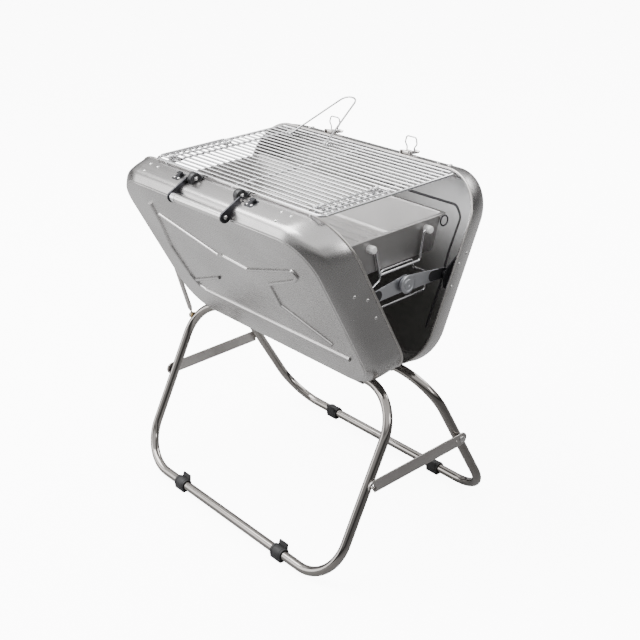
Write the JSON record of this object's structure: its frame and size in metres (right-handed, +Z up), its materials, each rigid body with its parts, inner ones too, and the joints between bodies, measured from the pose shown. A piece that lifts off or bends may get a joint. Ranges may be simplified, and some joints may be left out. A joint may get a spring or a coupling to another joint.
{
  "type": "folding camp grill",
  "caption": "Folding charcoal camp grill: two hinged steel shells open in a V on folding tube legs, with a hanging tray and a wire grate on top.",
  "frame": {"origin": "on the ground under the middle of the open grill", "axes": "+X along the case hinge, +Y from the carry-handle shell to the latch shell, +Z up"},
  "size_m": [0.4536, 0.3317, 0.539],
  "materials": {
    "brushed": "brushed stainless sheet",
    "polished": "polished round tube",
    "wire": "bright plated wire",
    "bright": "bright plated sheet",
    "gunmetal": "dark grey satin",
    "rubber": "matt black",
    "black": "black satin",
    "brass": "dull brass"
  },
  "bodies": {
    "spine": {"hinge_pin_left": "polished", "hinge_pin_right": "polished"},
    "front_case": {"front_shell": "brushed", "hinge_leaf_front_left": "brushed", "hinge_leaf_front_right": "brushed", "leg_clip_front_left": "gunmetal", "leg_clip_front_right": "gunmetal", "stay_bracket_front_left": "black", "stay_bracket_front_right": "black", "grate_rest_front_left": "bright", "grate_rest_front_right": "bright", "latch_keeper_left": "gunmetal", "latch_keeper_right": "gunmetal", "carry_cap_left": "gunmetal", "carry_cap_right": "gunmetal"},
    "rear_case": {"rear_shell": "brushed", "hinge_leaf_rear_left": "brushed", "hinge_leaf_rear_right": "brushed", "leg_clip_rear_left": "gunmetal", "leg_clip_rear_right": "gunmetal", "stay_bracket_rear_left": "black", "stay_bracket_rear_right": "black", "grate_rest_rear_left": "bright", "grate_rest_rear_right": "bright", "latch_base_left": "brushed", "latch_base_right": "brushed"},
    "front_legs": {"front_leg": "polished", "foot_front_left": "rubber", "foot_front_right": "rubber", "brace_pivot_left": "black"},
    "rear_legs": {"rear_leg": "polished", "foot_rear_left": "rubber", "foot_rear_right": "rubber", "brace_pivot_right": "black"},
    "brace_l": {"brace_left": "brushed"},
    "brace_r": {"brace_right": "brushed"},
    "strut_upper": {"strut_rod": "polished"},
    "strut_lower": {"strut_tube": "brushed", "strut_bolt": "brass"},
    "stay_front_l": {"stay_arm_front_left": "brushed"},
    "stay_rear_l": {"stay_arm_rear_left": "brushed"},
    "stay_front_r": {"stay_arm_front_right": "brushed"},
    "stay_rear_r": {"stay_arm_rear_right": "brushed"},
    "charcoal_tray": {"tray": "bright", "tray_stand_left": "wire", "tray_stand_right": "wire"},
    "bail_l": {"tray_bail_left": "wire"},
    "bail_r": {"tray_bail_right": "wire"},
    "cooking_grate": {"grate": "wire"},
    "back_handle": {"grate_handle": "wire"},
    "side_handle_l": {"grate_side_handle_left": "wire"},
    "side_handle_r": {"grate_side_handle_right": "wire"},
    "carry_handle": {"carry_arm_left": "gunmetal", "carry_arm_right": "gunmetal", "carry_grip": "polished"},
    "lever_l": {"latch_lever_left": "brushed"},
    "lever_r": {"latch_lever_right": "brushed"},
    "loop_l": {"latch_bail_left": "wire"},
    "loop_r": {"latch_bail_right": "wire"}
  },
  "joints": [
    {"name": "case_close", "type": "hinge", "parent": "spine", "child": "front_case", "pos_m": [0, 0.00659, 0.2536], "axis": [-1, 0, 0], "range_deg": [0, 25.75]},
    {"name": "case_close_rear", "type": "hinge", "parent": "spine", "child": "rear_case", "pos_m": [0, 0.00659, 0.2536], "axis": [1, 0, 0], "range_deg": [0, 25.75]},
    {"name": "tray_lift", "type": "slide", "parent": "spine", "child": "charcoal_tray", "axis": [0, 0, 1], "range_m": [0, 0.428]},
    {"name": "grate_lift", "type": "slide", "parent": "spine", "child": "cooking_grate", "axis": [0, 0, 1], "range_m": [0, 0.428]},
    {"name": "stay_front_l_turn", "type": "hinge", "parent": "front_case", "child": "stay_front_l", "pos_m": [-0.194, -0.05832, 0.37437], "axis": [1, 0, 0], "range_deg": [0, 106.26]},
    {"name": "stay_rear_l_turn", "type": "hinge", "parent": "stay_front_l", "child": "stay_rear_l", "pos_m": [-0.197, 0.00659, 0.37925], "axis": [-1, 0, 0], "range_deg": [0, 160.93]},
    {"name": "stay_front_r_turn", "type": "hinge", "parent": "front_case", "child": "stay_front_r", "pos_m": [0.194, -0.05832, 0.37437], "axis": [1, 0, 0], "range_deg": [0, 106.26]},
    {"name": "stay_rear_r_turn", "type": "hinge", "parent": "stay_front_r", "child": "stay_rear_r", "pos_m": [0.197, 0.00659, 0.37925], "axis": [-1, 0, 0], "range_deg": [0, 160.93]},
    {"name": "leg_fold", "type": "hinge", "parent": "front_case", "child": "front_legs", "pos_m": [0, -0.01912, 0.24017], "axis": [-1, 0, 0], "range_deg": [0, 107.5]},
    {"name": "leg_fold_rear", "type": "hinge", "parent": "rear_case", "child": "rear_legs", "pos_m": [0, 0.03231, 0.24017], "axis": [1, 0, 0], "range_deg": [0, 107.5]},
    {"name": "brace_l_swing", "type": "hinge", "parent": "front_legs", "child": "brace_l", "pos_m": [-0.222, -0.07623, 0.135], "axis": [1, 0, 0], "range_deg": [0, 222.8]},
    {"name": "brace_r_swing", "type": "hinge", "parent": "rear_legs", "child": "brace_r", "pos_m": [0.222, 0.08942, 0.135], "axis": [-1, 0, 0], "range_deg": [0, 222.8]},
    {"name": "strut_turn", "type": "hinge", "parent": "front_case", "child": "strut_upper", "pos_m": [-0.2168, -0.07622, 0.38233], "axis": [1, 0, 0], "range_deg": [0, 3.5]},
    {"name": "strut_slide", "type": "slide", "parent": "strut_upper", "child": "strut_lower", "axis": [0, -0.2423, 0.9702], "range_m": [0, 0.0498]},
    {"name": "carry_swing", "type": "hinge", "parent": "front_case", "child": "carry_handle", "pos_m": [0, -0.1325, 0.48861], "axis": [-1, 0, 0], "range_deg": [0, 95]},
    {"name": "grate_handle_swing", "type": "hinge", "parent": "cooking_grate", "child": "back_handle", "pos_m": [-0.06, 0.07509, 0.4959], "axis": [1, 0, 0], "range_deg": [0, 145]},
    {"name": "side_handle_l_swing", "type": "hinge", "parent": "cooking_grate", "child": "side_handle_l", "pos_m": [-0.125, -0.05741, 0.4959], "axis": [0, 1, 0], "range_deg": [0, 100]},
    {"name": "side_handle_r_swing", "type": "hinge", "parent": "cooking_grate", "child": "side_handle_r", "pos_m": [0.163, -0.05741, 0.4959], "axis": [0, -1, 0], "range_deg": [0, 100]},
    {"name": "tray_bail_l_swing", "type": "hinge", "parent": "charcoal_tray", "child": "bail_l", "pos_m": [-0.1864, 0.00659, 0.434], "axis": [0, 1, 0], "range_deg": [0, 100]},
    {"name": "tray_bail_r_swing", "type": "hinge", "parent": "charcoal_tray", "child": "bail_r", "pos_m": [0.1864, 0.00659, 0.434], "axis": [0, -1, 0], "range_deg": [0, 100]},
    {"name": "latch_lever_l_lift", "type": "hinge", "parent": "rear_case", "child": "lever_l", "pos_m": [-0.075, 0.13063, 0.49195], "axis": [1, 0, 0], "range_deg": [0, 80]},
    {"name": "latch_loop_l_swing", "type": "hinge", "parent": "lever_l", "child": "loop_l", "pos_m": [-0.075, 0.13798, 0.49104], "axis": [1, 0, 0], "range_deg": [0, 20]},
    {"name": "latch_lever_r_lift", "type": "hinge", "parent": "rear_case", "child": "lever_r", "pos_m": [0.075, 0.13063, 0.49195], "axis": [1, 0, 0], "range_deg": [0, 80]},
    {"name": "latch_loop_r_swing", "type": "hinge", "parent": "lever_r", "child": "loop_r", "pos_m": [0.075, 0.13798, 0.49104], "axis": [1, 0, 0], "range_deg": [0, 20]}
  ],
  "couplings": [
    {"joint": "case_close_rear", "follows": "case_close", "ratio": 1},
    {"joint": "tray_lift", "follows": "case_close", "m_per_rad": 0.95},
    {"joint": "grate_lift", "follows": "case_close", "m_per_rad": 0.95},
    {"joint": "stay_front_l_turn", "follows": "case_close", "ratio": 4.1228},
    {"joint": "stay_front_r_turn", "follows": "case_close", "ratio": 4.1228},
    {"joint": "stay_rear_l_turn", "follows": "case_close", "ratio": 6.2457},
    {"joint": "stay_rear_r_turn", "follows": "case_close", "ratio": 6.2457},
    {"joint": "leg_fold_rear", "follows": "leg_fold", "ratio": 1},
    {"joint": "brace_l_swing", "follows": "leg_fold", "ratio": 2.072},
    {"joint": "brace_r_swing", "follows": "leg_fold", "ratio": 2.072},
    {"joint": "strut_turn", "follows": "leg_fold", "ratio": 0.032},
    {"joint": "strut_slide", "follows": "leg_fold", "m_per_rad": 0.0264}
  ]
}
